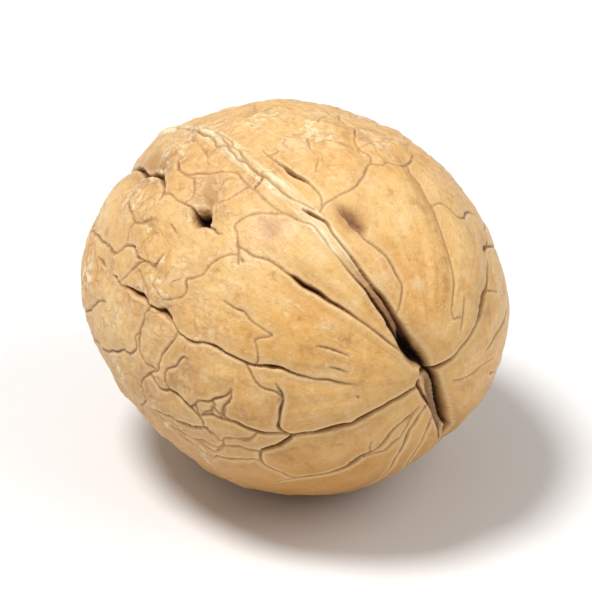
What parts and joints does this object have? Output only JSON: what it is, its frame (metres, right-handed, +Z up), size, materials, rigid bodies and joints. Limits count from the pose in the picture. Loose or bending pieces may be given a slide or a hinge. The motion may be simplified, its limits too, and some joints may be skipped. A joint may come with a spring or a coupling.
{
  "type": "walnut",
  "caption": "Whole walnut in its shell: raised seam, long grooves from the stem end, a net of creases towards the tip. Lies on a small flat spot.",
  "frame": {"origin": "middle of the nut's box, at the height of the flat spot that it rests on", "axes": "+Z up; +X towards the stem end, along the nut's length; the nut lies rolled 18.7 degrees on its side, with its upper seam facing up and towards -Y"},
  "size_m": [0.0431, 0.0372, 0.0366],
  "materials": {
    "shell": "satin"
  },
  "bodies": {
    "root": {"walnut": "shell"}
  },
  "joints": []
}
